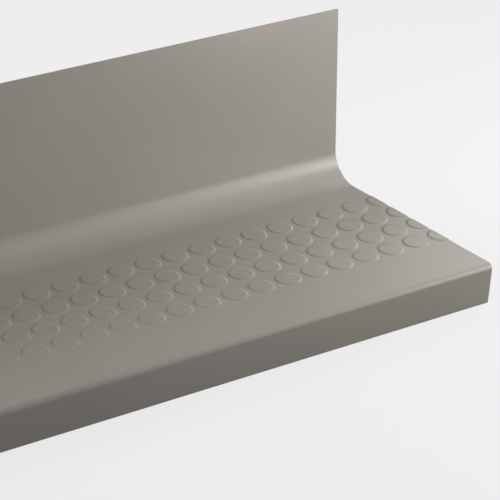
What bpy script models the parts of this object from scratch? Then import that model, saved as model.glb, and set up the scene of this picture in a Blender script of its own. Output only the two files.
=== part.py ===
# One-piece moulded rubber stair tread with its cove and riser
# The length runs along X, the nose faces -Y, the riser stands at +Y, Z is up.
# Sizes are in metres and angles in degrees.

import bpy
import bmesh
from math import cos, floor, pi, radians, sin, tan
from mathutils import Matrix, Vector

# Tread
treadLength = 0.9144        # 36 in, cut square at both ends
treadDepth = 0.252          # top of the nose face to the foot of the riser face
treadThickness = 0.0048

# Nose and the lip that hangs over the edge of the stair
noseHeight = 0.044          # tread surface to the bottom of the lip
noseDraft = 2.4             # the face falls back towards the stair
noseRadius = 0.006
lipThickness = 0.0062
lipEdgeRadius = 0.0015
lipBackEdgeRadius = 0.0008
lipFilletRadius = 0.003     # inside corner between the lip and the tread

# Cove and riser
coveRadius = 0.0346
coveCrease = 9.6            # angle at which the cove meets the riser face
riserHeight = 0.184         # tread surface to the top edge
riserLean = 4.1             # the riser leans back as it rises
riserThickness = 0.0032
riserTopThickness = 0.002
riserTopRadius = 0.0006
heelRadius = 0.001

# Raised discs, in straight rows and columns
discPitch = 0.03266
discRows = 4
frontRowSetback = 0.0804    # nose to the centres of the front row
discBaseRadius = 0.0142
discTopRadius = 0.0114
discHeight = 0.0008
discSink = 0.0001           # how far a disc reaches into the tread before the union
discSides = 20

rubberColour = (0.262, 0.243, 0.215, 1.0)


def clearScene():
    for obj in list(bpy.data.objects):
        bpy.data.objects.remove(obj, do_unlink=True)


def makeRubber():
    mat = bpy.data.materials.new("rubber")
    mat.use_nodes = True
    shader = mat.node_tree.nodes["Principled BSDF"]
    shader.inputs["Base Color"].default_value = rubberColour
    shader.inputs["Roughness"].default_value = 0.55
    shader.inputs["Metallic"].default_value = 0.0
    return mat


def arc(centre, radius, start, end, steps):
    points = []
    for i in range(steps + 1):
        a = start + (end - start) * i / steps
        points.append(centre + Vector((cos(a), sin(a))) * radius)
    return points


def fillet(before, corner, after, radius, steps):
    # points of the arc that rounds one corner of the outline
    inDir = (corner - before).normalized()
    outDir = (after - corner).normalized()
    turn = inDir.angle_signed(outDir)
    reach = radius * tan(abs(turn) / 2)
    start = corner - inDir * reach
    end = corner + outDir * reach
    side = Vector((inDir.y, -inDir.x)) if turn > 0 else Vector((-inDir.y, inDir.x))
    centre = start + side * radius
    points = []
    for i in range(steps + 1):
        share = i / steps
        spoke = (start - centre).normalized()
        angle = -turn * share
        spin = Matrix.Rotation(angle, 2)
        points.append(centre + (spin @ spoke) * radius)
    points[-1] = end
    return points


def lineMeet(p, d, height):
    # where the line through p along d crosses a level height
    return p + d * ((height - p.y) / d.y)


def sectionOutline():
    # (y, z) points, y from the nose face and z from the bottom of the lip
    draft = radians(noseDraft)
    lean = radians(riserLean)
    crease = radians(coveCrease)
    top = noseHeight
    under = noseHeight - treadThickness

    lipWidth = lipThickness / cos(draft)
    noseTop = Vector((0.0, top))
    lipFront = Vector((top * tan(draft), 0.0))
    lipBack = lipFront + Vector((lipWidth, 0.0))
    lipRoot = Vector((treadThickness * tan(draft) + lipWidth, under))

    up = Vector((sin(lean), cos(lean)))
    back = Vector((cos(lean), -sin(lean)))
    foot = Vector((treadDepth, top))
    riserTop = foot + up * (riserHeight / cos(lean))
    riserTopBack = riserTop + back * riserTopThickness
    riserBackFoot = foot + back * riserThickness
    heel = lineMeet(riserBackFoot, riserTopBack - riserBackFoot, under)

    coveRun = coveRadius * (cos(crease) - sin(lean)) / cos(lean)
    coveCentre = foot + Vector((-coveRun, coveRadius))
    cove = arc(coveCentre, coveRadius, -(lean + crease), -pi / 2, 14)

    outline = []
    outline += fillet(cove[-1], noseTop, lipFront, noseRadius, 8)
    outline += fillet(noseTop, lipFront, lipBack, lipEdgeRadius, 3)
    outline += fillet(lipFront, lipBack, lipRoot, lipBackEdgeRadius, 2)
    outline += fillet(lipBack, lipRoot, heel, lipFilletRadius, 4)
    outline += fillet(lipRoot, heel, riserTopBack, heelRadius, 3)
    outline += fillet(heel, riserTopBack, riserTop, riserTopRadius, 2)
    outline += fillet(riserTopBack, riserTop, cove[0], riserTopRadius, 2)
    outline += cove
    return outline


def newObject(name, bm):
    bmesh.ops.recalc_face_normals(bm, faces=bm.faces)
    mesh = bpy.data.meshes.new(name)
    bm.to_mesh(mesh)
    bm.free()
    obj = bpy.data.objects.new(name, mesh)
    bpy.context.scene.collection.objects.link(obj)
    return obj


def makeCutter(name, bm):
    obj = newObject(name, bm)
    obj.hide_render = True
    obj.display_type = 'WIRE'
    return obj


def makeBody(outline, yShift):
    # the section pushed along X, a little over length so that the trim cuts a clean end
    over = treadLength / 2 + discPitch
    bm = bmesh.new()
    ring = [bm.verts.new((-over, p.x + yShift, p.y)) for p in outline]
    face = bm.faces.new(ring)
    pushed = bmesh.ops.extrude_face_region(bm, geom=[face])
    moved = [v for v in pushed["geom"] if isinstance(v, bmesh.types.BMVert)]
    bmesh.ops.translate(bm, verts=moved, vec=(2 * over, 0, 0))
    return newObject("tread_and_riser", bm)


def makeDiscs(yShift):
    slope = (discBaseRadius - discTopRadius) / discHeight
    sides = floor((treadLength / 2 + discBaseRadius) / discPitch)
    bm = bmesh.new()
    for row in range(discRows):
        y = yShift + frontRowSetback + row * discPitch
        for col in range(-sides, sides + 1):
            place = Matrix.Translation((col * discPitch, y, noseHeight + (discHeight - discSink) / 2))
            turn = Matrix.Rotation(pi / discSides, 4, 'Z')
            bmesh.ops.create_cone(
                bm, cap_ends=True, segments=discSides,
                radius1=discBaseRadius + slope * discSink, radius2=discTopRadius,
                depth=discHeight + discSink, matrix=place @ turn)
    return makeCutter("disc_field", bm)


def makeTrim(outline, yShift):
    # a block as long as the tread, and clear of it all round
    front = min(p.x for p in outline) + yShift - 0.02
    rear = max(p.x for p in outline) + yShift + 0.02
    high = max(p.y for p in outline) + 0.02
    bm = bmesh.new()
    bmesh.ops.create_cube(bm, size=1.0)
    bmesh.ops.scale(bm, verts=bm.verts, vec=(treadLength, rear - front, high + 0.02))
    bmesh.ops.translate(bm, verts=bm.verts, vec=(0, (front + rear) / 2, (high - 0.02) / 2))
    return makeCutter("trim_block", bm)


def addBoolean(obj, cutter, operation):
    mod = obj.modifiers.new(cutter.name, 'BOOLEAN')
    mod.operation = operation
    mod.solver = 'EXACT'
    mod.object = cutter


def main():
    clearScene()
    outline = sectionOutline()
    # the footprint is centred on the origin, front to back
    yShift = -(min(p.x for p in outline) + max(p.x for p in outline)) / 2

    body = makeBody(outline, yShift)
    addBoolean(body, makeDiscs(yShift), 'UNION')
    addBoolean(body, makeTrim(outline, yShift), 'INTERSECT')
    body.data.materials.append(makeRubber())
    body.data.shade_smooth()
    body.data.set_sharp_from_angle(angle=radians(30))


main()
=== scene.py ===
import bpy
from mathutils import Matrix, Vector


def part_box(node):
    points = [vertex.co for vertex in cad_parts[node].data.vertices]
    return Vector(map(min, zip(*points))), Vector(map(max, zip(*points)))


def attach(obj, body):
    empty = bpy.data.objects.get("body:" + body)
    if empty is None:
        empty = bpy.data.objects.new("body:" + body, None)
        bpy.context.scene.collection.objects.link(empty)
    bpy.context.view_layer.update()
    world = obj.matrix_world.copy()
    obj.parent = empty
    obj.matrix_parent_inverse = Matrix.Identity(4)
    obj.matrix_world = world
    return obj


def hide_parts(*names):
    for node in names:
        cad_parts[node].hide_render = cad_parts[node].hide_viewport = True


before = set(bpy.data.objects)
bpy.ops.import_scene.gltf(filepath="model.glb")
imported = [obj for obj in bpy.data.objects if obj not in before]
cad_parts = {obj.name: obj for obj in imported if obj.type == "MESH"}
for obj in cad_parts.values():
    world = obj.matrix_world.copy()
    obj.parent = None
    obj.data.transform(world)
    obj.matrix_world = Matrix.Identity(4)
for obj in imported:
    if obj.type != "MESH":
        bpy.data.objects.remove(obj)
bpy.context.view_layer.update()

import bpy
import bmesh
from math import asin, ceil, cos, pi, radians, sin, tan
from mathutils import Matrix, Vector

nodeName = "tread_and_riser"
nodeLow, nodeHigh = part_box(nodeName)
treadLength = nodeHigh[0] - nodeLow[0]

# The straight section, in millimetres, y from the nose and z from the bottom of the lip
sectionSizes = {
    "depth": 252.0,             # nose to the foot of the riser
    "thickness": 4.8,
    "noseHeight": 44.0,
    "noseDraft": 2.4,           # degrees
    "noseRadius": 6.0,
    "lipThickness": 6.2,
    "lipEdgeRadius": 2.0,
    "lipBackEdgeRadius": 0.8,
    "lipFilletRadius": 3.0,
    "coveRadius": 34.6,
    "coveCrease": 9.6,          # degrees
    "creaseRadius": 24.0,       # softens the line where the cove meets the riser
    "riserHeight": 184.0,
    "riserLean": 4.1,           # degrees
    "riserThickness": 3.2,
    "riserTopThickness": 2.0,
    "riserTopRadius": 0.6,
    "heelRadius": 1.0,
    "endEase": 0.15,            # narrow bevel round both cut ends
    "sharpAbove": 40.0,         # degrees; an edge that bends more than this stays sharp
    # how many straight pieces make up each rounding, and the flat strip in front of the pad
    "pieces": {"cove": 30, "crease": 4, "nose": 14, "lipEdge": 6, "lipBackEdge": 4,
               "lipFillet": 6, "heel": 5, "riserTop": 4, "frontStrip": 6},
}

# The raised discs and the low pad that they stand on, in millimetres
discSizes = {
    "pitch": 32.66,
    "rows": 4,
    "frontSetback": 80.0,       # nose to the centres of the front row
    "baseRadius": 14.4,
    "topRadius": 11.2,
    "height": 0.75,             # disc top above the tread
    "columnShift": -0.9,        # the middle column sits a touch left of the tread's middle
    "padRise": 0.14,
    "padMargin": 0.643,         # pad edge from the outer row's centres, in pitches
    "padSlope": 0.4,
    "softness": 1.0,            # 0 for a straight sloping side, 1 for one that eases in and out
    "crispEdge": 0.25,          # flat strip kept beside each soft edge
    "slopePieces": 7,           # rings down a disc's sloping side
    "sidePieces": 12,           # faces along one side of a disc's square
}

cutTolerance = 1e-7             # metres, and so are the next two
rimTolerance = 1e-6
weldDistance = 2e-6


def mm(value):
    return value * 0.001


def addObject(name, data):
    obj = bpy.data.objects.new(name, data)
    bpy.context.scene.collection.objects.link(obj)
    return obj


def arcPoints(centre, radius, start, end, steps):
    return [centre + Vector((cos(a), sin(a))) * radius
            for a in (start + (end - start) * i / steps for i in range(steps + 1))]


def roundCorner(before, corner, after, radius, steps):
    arrive = (corner - before).normalized()
    leave = (after - corner).normalized()
    turn = asin(max(-1.0, min(1.0, arrive.x * leave.y - arrive.y * leave.x)))
    if arrive.dot(leave) < 0:
        turn = (pi if turn > 0 else -pi) - turn
    start = corner - arrive * radius * tan(abs(turn) / 2)
    inward = Vector((-arrive.y, arrive.x)) if turn > 0 else Vector((arrive.y, -arrive.x))
    centre = start + inward * radius
    spoke = start - centre
    return [centre + Matrix.Rotation(turn * i / steps, 2) @ spoke for i in range(steps + 1)]


def sectionLine(s, d):
    # the outline without the stretch that the discs fill: from that stretch's front edge forward
    # over the nose, back along the underside, up and down the riser, and to its back edge
    pieces = s["pieces"]
    draft = radians(s["noseDraft"])
    lean = radians(s["riserLean"])
    crease = radians(s["coveCrease"])
    top = s["noseHeight"]
    under = top - s["thickness"]
    lipWidth = s["lipThickness"] / cos(draft)
    noseTop = Vector((0.0, top))
    lipFront = Vector((top * tan(draft), 0.0))
    lipBack = lipFront + Vector((lipWidth, 0.0))
    lipRoot = Vector((s["thickness"] * tan(draft) + lipWidth, under))

    up = Vector((sin(lean), cos(lean)))
    back = Vector((cos(lean), -sin(lean)))
    foot = Vector((s["depth"], top))
    riserTop = foot + up * (s["riserHeight"] / cos(lean))
    riserTopBack = riserTop + back * s["riserTopThickness"]
    riserBackFoot = foot + back * s["riserThickness"]
    slope = riserTopBack - riserBackFoot
    heel = riserBackFoot + slope * ((under - riserBackFoot.y) / slope.y)

    run = s["coveRadius"] * (cos(crease) - sin(lean)) / cos(lean)
    coveCentre = foot + Vector((-run, s["coveRadius"]))
    cove = arcPoints(coveCentre, s["coveRadius"], -(lean + crease), -pi / 2, pieces["cove"])
    softCrease = roundCorner(riserTop, cove[0], cove[2], s["creaseRadius"], pieces["crease"])

    discFront = d["frontSetback"] - d["pitch"] / 2
    discBack = discFront + d["rows"] * d["pitch"]
    padFront = d["frontSetback"] - d["padMargin"] * d["pitch"]
    padBack = discBack + discFront - padFront
    padTop = top + d["padRise"]
    crisp = d["crispEdge"]
    slopeFront = padFront - d["padSlope"]
    slopeBack = padBack + d["padSlope"]

    line = [Vector((y, padTop)) for y in (discFront, padFront + crisp, padFront)]
    line += [Vector((y, top)) for y in (slopeFront, slopeFront - crisp)]
    strip = pieces["frontStrip"]
    for i in range(1, strip + 1):
        y = slopeFront * (1 - i / strip) + s["noseRadius"] * i / strip + crisp
        line.append(Vector((y, top)))
    line += roundCorner(Vector((slopeFront, top)), noseTop, lipFront, s["noseRadius"], pieces["nose"])
    line += roundCorner(noseTop, lipFront, lipBack, s["lipEdgeRadius"], pieces["lipEdge"])
    line += roundCorner(lipFront, lipBack, lipRoot, s["lipBackEdgeRadius"], pieces["lipBackEdge"])
    line += roundCorner(lipBack, lipRoot, heel, s["lipFilletRadius"], pieces["lipFillet"])
    line += roundCorner(lipRoot, heel, riserTopBack, s["heelRadius"], pieces["heel"])
    line += roundCorner(heel, riserTopBack, riserTop, s["riserTopRadius"], pieces["riserTop"])
    line += roundCorner(riserTopBack, riserTop, foot, s["riserTopRadius"], pieces["riserTop"])
    line += softCrease + cove[3:]
    line += [Vector((y, top)) for y in (slopeBack + crisp, slopeBack)]
    line += [Vector((y, padTop)) for y in (padBack, padBack - crisp, discBack)]
    return line


def discProfile(d):
    # (radius, height above the pad) from the flat top of a disc out to its foot
    run = d["baseRadius"] - d["topRadius"]
    rise = d["height"] - d["padRise"]
    points = [(d["topRadius"] - d["crispEdge"], rise)]
    for i in range(d["slopePieces"] + 1):
        t = i / d["slopePieces"]
        ease = t * t * (3 - 2 * t)
        height = rise * (1 - t - (ease - t) * d["softness"])
        points.append((d["topRadius"] + run * t, height))
    points.append((d["baseRadius"] + d["crispEdge"], 0.0))
    return points


def addDisc(bm, centre, d, profile):
    # one square of the field: rings round the disc, then out to the square's edge
    side = d["sidePieces"]
    count = 4 * side
    half = mm(d["pitch"]) / 2
    hub = bm.verts.new(centre + Vector((0, 0, mm(profile[0][1]))))
    rings = []
    for radius, height in profile:
        ring = []
        for i in range(count):
            a = -0.75 * pi + 2 * pi * i / count     # starts towards the square's front left corner
            spot = Vector((cos(a) * mm(radius), sin(a) * mm(radius), mm(height)))
            ring.append(bm.verts.new(centre + spot))
        rings.append(ring)
    edge = []
    for i in range(count):
        run = (i % side) / side * 2 * half - half
        x, y = [(run, -half), (half, run), (-run, half), (-half, -run)][i // side]
        edge.append(bm.verts.new(centre + Vector((x, y, 0))))
    rings.append(edge)
    for i in range(count):
        j = (i + 1) % count
        bm.faces.new((hub, rings[0][i], rings[0][j]))
        for inner, outer in zip(rings, rings[1:]):
            bm.faces.new((inner[i], outer[i], outer[j], inner[j]))


def cutEnd(bm, outward, ease):
    # a square cut with its edge eased all round, then closed with one face
    end = outward * treadLength / 2
    allOfIt = bm.verts[:] + bm.edges[:] + bm.faces[:]
    bmesh.ops.bisect_plane(bm, geom=allOfIt, plane_co=(end, 0, 0), plane_no=(outward, 0, 0),
                           clear_outer=True, dist=cutTolerance)
    allOfIt = bm.verts[:] + bm.edges[:] + bm.faces[:]
    bmesh.ops.bisect_plane(bm, geom=allOfIt, plane_co=(end - outward * ease, 0, 0),
                           plane_no=(outward, 0, 0), dist=cutTolerance)
    rim = [e for e in bm.edges
           if e.is_boundary and all(abs(v.co.x - end) < rimTolerance for v in e.verts)]
    rimVerts = {v for e in rim for v in e.verts}
    bm.normal_update()
    moves = {v: Vector((0, v.normal.y, v.normal.z)).normalized() * ease for v in rimVerts}
    for v, move in moves.items():
        v.co -= move
    bmesh.ops.contextual_create(bm, geom=rim)


def makeTread(s, d):
    columns = 2 * ceil(treadLength / 2 / mm(d["pitch"])) + 1
    halfWidth = columns * mm(d["pitch"]) / 2
    stations = columns * d["sidePieces"]
    front = nodeLow[1]
    line = sectionLine(s, d)
    nearest = min(p.x for p in line)

    def place(x, p):
        return Vector((x, front + mm(p.x - nearest), nodeLow[2] + mm(p.y)))

    bm = bmesh.new()
    rows = []
    for k in range(stations + 1):
        x = mm(d["columnShift"]) - halfWidth + 2 * halfWidth * k / stations
        rows.append([bm.verts.new(place(x, p)) for p in line])
    for a, b in zip(rows, rows[1:]):
        for i in range(len(line) - 1):
            bm.faces.new((a[i], a[i + 1], b[i + 1], b[i]))
    profile = discProfile(d)
    padTop = s["noseHeight"] + d["padRise"]
    for row in range(d["rows"]):
        for col in range(columns):
            x = (col - (columns - 1) / 2) * mm(d["pitch"]) + mm(d["columnShift"])
            y = d["frontSetback"] + row * d["pitch"]
            addDisc(bm, place(x, Vector((y, padTop))), d, profile)
    bmesh.ops.remove_doubles(bm, verts=bm.verts, dist=weldDistance)
    bmesh.ops.recalc_face_normals(bm, faces=bm.faces)
    cutEnd(bm, 1, mm(s["endEase"]))
    cutEnd(bm, -1, mm(s["endEase"]))
    bmesh.ops.recalc_face_normals(bm, faces=bm.faces)

    mesh = bpy.data.meshes.new("rubberTread")
    bm.to_mesh(mesh)
    bm.free()
    mesh.shade_smooth()
    mesh.set_sharp_from_angle(angle=radians(s["sharpAbove"]))
    return addObject("rubberTread", mesh)


# What the rubber looks like; scales count features per metre and depths are in metres
rubberLook = {
    "light": (0.292, 0.271, 0.242, 1),
    "dark": (0.262, 0.242, 0.214, 1),
    "roughness": (0.27, 0.34),
    "cloudScale": 9.0,          # slow drift of colour
    "cloudDetail": 3.0,
    "grainScale": 1500.0,       # moulded surface grain
    "grainDetail": 2.0,
    "grainDepth": 0.00002,
    "waveScale": 45.0,          # faint unevenness of the sheet
    "waveDetail": 1.0,
    "waveDepth": 0.00005,
}


def makeRubber(look):
    mat = bpy.data.materials.new("taupeRubber")
    mat.use_nodes = True
    nodes = mat.node_tree.nodes
    links = mat.node_tree.links
    shader = nodes["Principled BSDF"]
    coords = nodes.new("ShaderNodeTexCoord")

    def noise(kind):
        tex = nodes.new("ShaderNodeTexNoise")
        tex.inputs["Scale"].default_value = look[kind + "Scale"]
        tex.inputs["Detail"].default_value = look[kind + "Detail"]
        links.new(coords.outputs["Object"], tex.inputs["Vector"])
        return tex.outputs["Fac"]

    def bump(height, depth):
        node = nodes.new("ShaderNodeBump")
        node.inputs["Strength"].default_value = 1.0
        node.inputs["Distance"].default_value = depth
        links.new(height, node.inputs["Height"])
        return node

    tint = nodes.new("ShaderNodeMix")
    tint.data_type = 'RGBA'
    tint.inputs["A"].default_value = look["dark"]
    tint.inputs["B"].default_value = look["light"]
    links.new(noise("cloud"), tint.inputs["Factor"])
    links.new(tint.outputs["Result"], shader.inputs["Base Color"])

    grain = noise("grain")
    gloss = nodes.new("ShaderNodeMapRange")
    gloss.inputs["To Min"].default_value = look["roughness"][0]
    gloss.inputs["To Max"].default_value = look["roughness"][1]
    links.new(grain, gloss.inputs["Value"])
    links.new(gloss.outputs["Result"], shader.inputs["Roughness"])

    waveBump = bump(noise("wave"), look["waveDepth"])
    grainBump = bump(grain, look["grainDepth"])
    links.new(waveBump.outputs["Normal"], grainBump.inputs["Normal"])
    links.new(grainBump.outputs["Normal"], shader.inputs["Normal"])
    return mat


# The photograph's viewpoint, worked out from the disc lattice and the straight edges
photoCamera = {
    "place": (-1.30693, -1.96528, 1.23699),
    "aim": (0.26838, 0.01827, 0.0440),
    "roll": 3.2023,             # degrees, the right side of the camera up
    "lens": 202.26,
    "sensor": 36.0,
    "farClip": 50.0,            # metres
}


def makeCamera(c):
    camData = bpy.data.cameras.new("photoCamera")
    camData.lens = c["lens"]
    camData.sensor_width = c["sensor"]
    camData.clip_end = c["farClip"]
    cam = addObject("photoCamera", camData)
    ahead = (Vector(c["aim"]) - Vector(c["place"])).normalized()
    right = ahead.cross(Vector((0, 0, 1))).normalized()
    up = right.cross(ahead)
    roll = radians(c["roll"])
    tiltedRight = right * cos(roll) + up * sin(roll)
    tiltedUp = up * cos(roll) - right * sin(roll)
    turn = Matrix((tiltedRight, tiltedUp, -ahead)).transposed()
    cam.matrix_world = Matrix.Translation(c["place"]) @ turn.to_4x4()
    bpy.context.scene.camera = cam


# Soft rectangular lamps: the big ones fill, and the small ones at the right draw the highlights.
# Places and sizes are in metres, power in watts.
middle = (0.2, 0.0, 0.1)
studioLights = {
    "highSide": {"place": (1.5, -0.5, 0.5), "aim": (0.3, 0.0, 0.1), "size": (0.25, 0.28), "power": 26.3},
    "leftFill": {"place": (-1.532, 0.0, 1.1), "aim": middle, "size": (1.0, 1.0), "power": 9.72},
    "backLeft": {"place": (-0.913, 1.327, 1.1), "aim": middle, "size": (1.0, 1.0), "power": 20.2},
    "backFill": {"place": (0.2, 1.414, 1.514), "aim": middle, "size": (1.0, 1.0), "power": 5.48},
    "rightFill": {"place": (0.3, -0.2, 0.4), "aim": (0.3, 0.12, 0.12), "size": (0.5, 0.2), "power": 0.0848},
    "cornerFront": {"place": (1.0, -0.8, 0.225), "aim": (0.0, -0.8, 0.225),
                    "size": (0.2, 0.15), "power": 1.15},
    "sideFront": {"place": (1.0, -0.625, 0.375), "aim": (0.0, -0.625, 0.375),
                  "size": (0.15, 0.15), "power": 0.636},
    "sideHigh": {"place": (1.0, 0.15, 0.575), "aim": (0.0, 0.15, 0.575),
                 "size": (0.2, 0.25), "power": 0.486},
    "sideRear": {"place": (1.0, 0.65, 0.575), "aim": (0.0, 0.65, 0.575),
                 "size": (0.3, 0.25), "power": 0.178},
    "sideRearNear": {"place": (1.0, 0.375, 0.575), "aim": (0.0, 0.375, 0.575),
                     "size": (0.25, 0.25), "power": 0.304},
    "behindEnd": {"place": (0.75, 0.22, 0.25), "aim": (0.35, -0.06, 0.05),
                  "size": (0.16, 0.16), "power": 0.064},
    "overNose": {"place": (0.896, -0.207, 0.79), "aim": (0.4, -0.12, 0.044),
                 "size": (0.22, 0.22), "power": 0.14},
}
worldLook = {"colour": (1.0, 1.0, 1.0, 1), "strength": 0.222}


def makeLights(lights, world):
    for name, spec in lights.items():
        data = bpy.data.lights.new(name, 'AREA')
        data.shape = 'RECTANGLE'
        data.size, data.size_y = spec["size"]
        data.energy = spec["power"]
        lamp = addObject(name, data)
        lamp.location = spec["place"]
        look = Vector(spec["aim"]) - lamp.location
        lamp.rotation_euler = look.to_track_quat('-Z', 'Y').to_euler()
        lamp.visible_camera = False
    studio = bpy.data.worlds.new("studio")
    studio.use_nodes = True
    sky = studio.node_tree.nodes["Background"]
    sky.inputs["Color"].default_value = world["colour"]
    sky.inputs["Strength"].default_value = world["strength"]
    bpy.context.scene.world = studio


# A pale floor and a round backdrop that glow a little, so that they stay even; they throw no light
# back onto the rubber. Sizes are in metres.
paleLook = {"colour": (0.10, 0.10, 0.10, 1), "glow": 0.745, "roughness": 0.9}
floorSizes = {"width": 30.0}
backdropSizes = {"radius": 12.0, "sweep": 4.0, "height": 10.0, "pieces": 72, "sweepPieces": 12}


def makePale(look):
    mat = bpy.data.materials.new("paleFloor")
    mat.use_nodes = True
    shader = mat.node_tree.nodes["Principled BSDF"]
    shader.inputs["Base Color"].default_value = look["colour"]
    shader.inputs["Roughness"].default_value = look["roughness"]
    shader.inputs["Specular IOR Level"].default_value = 0.0
    shader.inputs["Emission Color"].default_value = (1, 1, 1, 1)
    shader.inputs["Emission Strength"].default_value = look["glow"]
    return mat


def makeStage(name, verts, faces, mat):
    mesh = bpy.data.meshes.new(name)
    mesh.from_pydata(verts, [], faces)
    mesh.materials.append(mat)
    mesh.shade_smooth()
    obj = addObject(name, mesh)
    obj.visible_diffuse = False
    obj.visible_glossy = False
    return obj


def makeFloor(f, mat):
    half = f["width"] / 2
    corners = [(-half, -half, 0), (half, -half, 0), (half, half, 0), (-half, half, 0)]
    makeStage("floor", corners, [(0, 1, 2, 3)], mat)


def makeBackdrop(b, mat):
    # a round wall that sweeps up out of the floor, far behind the piece
    centre = Vector((b["radius"] - b["sweep"], b["sweep"]))
    profile = arcPoints(centre, b["sweep"], -pi / 2, 0, b["sweepPieces"])
    profile.append(Vector((b["radius"], b["height"])))
    count = b["pieces"]
    turns = [2 * pi * i / count for i in range(count)]
    verts = [(p.x * cos(a), p.x * sin(a), p.y) for p in profile for a in turns]
    faces = []
    for low in range(0, (len(profile) - 1) * count, count):
        high = low + count
        for i in range(count):
            j = (i + 1) % count
            faces.append((low + i, low + j, high + j, high + i))
    wall = makeStage("backdrop", verts, faces, mat)
    wall.visible_shadow = False


makeCamera(photoCamera)
print("camera in place")
tread = makeTread(sectionSizes, discSizes)
tread.data.materials.append(makeRubber(rubberLook))
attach(tread, "root")
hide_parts(nodeName)
print("tread built,", len(tread.data.polygons), "faces")
makeLights(studioLights, worldLook)
pale = makePale(paleLook)
makeFloor(floorSizes, pale)
makeBackdrop(backdropSizes, pale)
print("studio ready")

bpy.context.scene.view_settings.view_transform = 'Standard'
